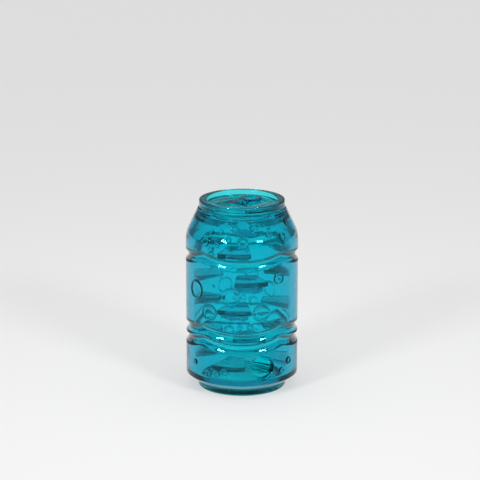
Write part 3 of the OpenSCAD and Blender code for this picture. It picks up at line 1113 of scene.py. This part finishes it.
def floor_material(stage):
    """A pale floor that keeps the shadow and shows as near white."""
    material = bpy.data.materials.new("pale_floor")
    material.use_nodes = True
    nodes, links = material.node_tree.nodes, material.node_tree.links
    nodes.remove(nodes["Principled BSDF"])
    matt = nodes.new("ShaderNodeBsdfDiffuse")
    matt.inputs["Color"].default_value = (*stage.floor_colour, 1)
    white = nodes.new("ShaderNodeEmission")
    share = nodes.new("ShaderNodeMath")
    share.operation = "MULTIPLY"
    share.inputs[1].default_value = stage.floor_glow
    links.new(seen_rays(nodes, links), share.inputs[0])
    blend = nodes.new("ShaderNodeMixShader")
    links.new(share.outputs[0], blend.inputs["Fac"])
    links.new(matt.outputs[0], blend.inputs[1])
    links.new(white.outputs[0], blend.inputs[2])
    links.new(blend.outputs[0], nodes["Material Output"].inputs["Surface"])
    return material


def light_room(context, stage):
    """Plain soft light, brightest overhead and dimmer towards the horizon."""
    world = context.scene.world or bpy.data.worlds.new("room")
    context.scene.world = world
    world.use_nodes = True
    nodes, links = world.node_tree.nodes, world.node_tree.links
    nodes.clear()
    out = nodes.new("ShaderNodeOutputWorld")
    room = nodes.new("ShaderNodeBackground")
    room.inputs["Color"].default_value = (1, 1, 1, 1)
    place = nodes.new("ShaderNodeTexCoord")
    height = nodes.new("ShaderNodeSeparateXYZ")
    links.new(place.outputs["Generated"], height.inputs["Vector"])
    strength = nodes.new("ShaderNodeMapRange")
    strength.interpolation_type = "SMOOTHSTEP"
    strength.inputs["From Min"].default_value = SKY_RANGE[0]
    strength.inputs["From Max"].default_value = SKY_RANGE[1]
    strength.inputs["To Min"].default_value = stage.horizon_light
    strength.inputs["To Max"].default_value = stage.room_light
    links.new(height.outputs["Z"], strength.inputs["Value"])
    links.new(strength.outputs["Result"], room.inputs["Strength"])
    links.new(room.outputs["Background"], out.inputs["Surface"])


def aim(obj, target):
    """Turns a camera or lamp towards a point."""
    obj.rotation_euler = (target - obj.location).to_track_quat("-Z", "Y").to_euler()


def around(middle, side, rise, distance):
    """The point at a turn from the front, a rise above the horizon and a distance from the can's middle."""
    level = math.cos(rise)
    return middle + distance * Vector((math.sin(side) * level, -math.cos(side) * level, math.sin(rise)))


class DISPENSER_OT_stage(bpy.types.Operator):
    """Sets the camera, the lamps, the room's light and the floor"""

    bl_idname = "dispenser.stage"
    bl_label = "Stage"

    def execute(self, context):
        stage = context.scene.dispenser_stage
        middle = Vector((0, 0, (CAD_BOX[0][2] + CAD_BOX[1][2]) / 2))
        camera = bpy.data.objects.new("camera", bpy.data.cameras.new("camera"))
        context.collection.objects.link(camera)
        camera.data.lens = stage.camera_lens
        camera.location = around(middle, 0, stage.camera_rise, stage.camera_distance)
        up = Vector((0, math.sin(stage.camera_rise), math.cos(stage.camera_rise)))
        aim(camera, middle + stage.aim_up * up + Vector((stage.aim_side, 0, 0)))
        context.scene.camera = camera

        for name, side in (("left_lamp", -1), ("right_lamp", 1)):
            lamp = bpy.data.objects.new(name, bpy.data.lights.new(name, "AREA"))
            context.collection.objects.link(lamp)
            lamp.data.shape = "RECTANGLE"
            lamp.data.size = stage.lamp_width
            lamp.data.size_y = stage.lamp_height
            lamp.data.spread = stage.lamp_spread
            lamp.data.energy = stage.lamp_power
            lamp.location = around(middle, side * stage.lamp_turn, stage.lamp_rise, stage.lamp_distance)
            aim(lamp, middle)

        start_fresh()
        bpy.ops.mesh.primitive_circle_add(
            vertices=RING_STEPS,
            radius=FLOOR_RADIUS,
            fill_type="NGON",
            location=(0, 0, CAD_BOX[0][2] - FLOOR_GAP),
        )
        floor = named("floor")
        floor.data.materials.append(floor_material(stage))
        light_room(context, stage)
        context.scene.view_settings.view_transform = "Standard"
        return {"FINISHED"}


class DISPENSER_PT_panel(bpy.types.Panel):
    """Lists the pieces and their settings"""

    bl_idname = "DISPENSER_PT_panel"
    bl_label = "Treat dispenser"
    bl_space_type = "VIEW_3D"
    bl_region_type = "UI"
    bl_category = "Dispenser"

    def draw(self, context):
        for name in OPERATORS:
            self.layout.operator(f"dispenser.{name}")
        for name in SETTINGS:
            group = getattr(context.scene, name)
            box = self.layout.box()
            for key in group.__annotations__:
                box.prop(group, key)


SETTINGS = {
    "dispenser_wall": WallSettings,
    "dispenser_lid": LidSettings,
    "dispenser_foot": FootSettings,
    "dispenser_fin": FinSettings,
    "dispenser_rubber": RubberSettings,
    "dispenser_stage": StageSettings,
}
OPERATORS = {
    "wall": DISPENSER_OT_wall,
    "foot": DISPENSER_OT_foot,
    "fins": DISPENSER_OT_fins,
    "lid": DISPENSER_OT_lid,
    "rivet": DISPENSER_OT_rivet,
    "ring_pull": DISPENSER_OT_ring_pull,
    "stage": DISPENSER_OT_stage,
}


def register():
    """Registers the settings, the operators and the panel."""
    for group in SETTINGS.values():
        bpy.utils.register_class(group)
    for operator in OPERATORS.values():
        bpy.utils.register_class(operator)
    bpy.utils.register_class(DISPENSER_PT_panel)
    for name, group in SETTINGS.items():
        setattr(bpy.types.Scene, name, PointerProperty(type=group))


def unregister():
    """Takes the panel, the operators and the settings away again."""
    for name in SETTINGS:
        delattr(bpy.types.Scene, name)
    bpy.utils.unregister_class(DISPENSER_PT_panel)
    for operator in reversed(list(OPERATORS.values())):
        bpy.utils.unregister_class(operator)
    for group in reversed(list(SETTINGS.values())):
        bpy.utils.unregister_class(group)


def main():
    """Models every piece and the stage."""
    register()
    for name in OPERATORS:
        getattr(bpy.ops.dispenser, name)()


if __name__ == "__main__":
    main()
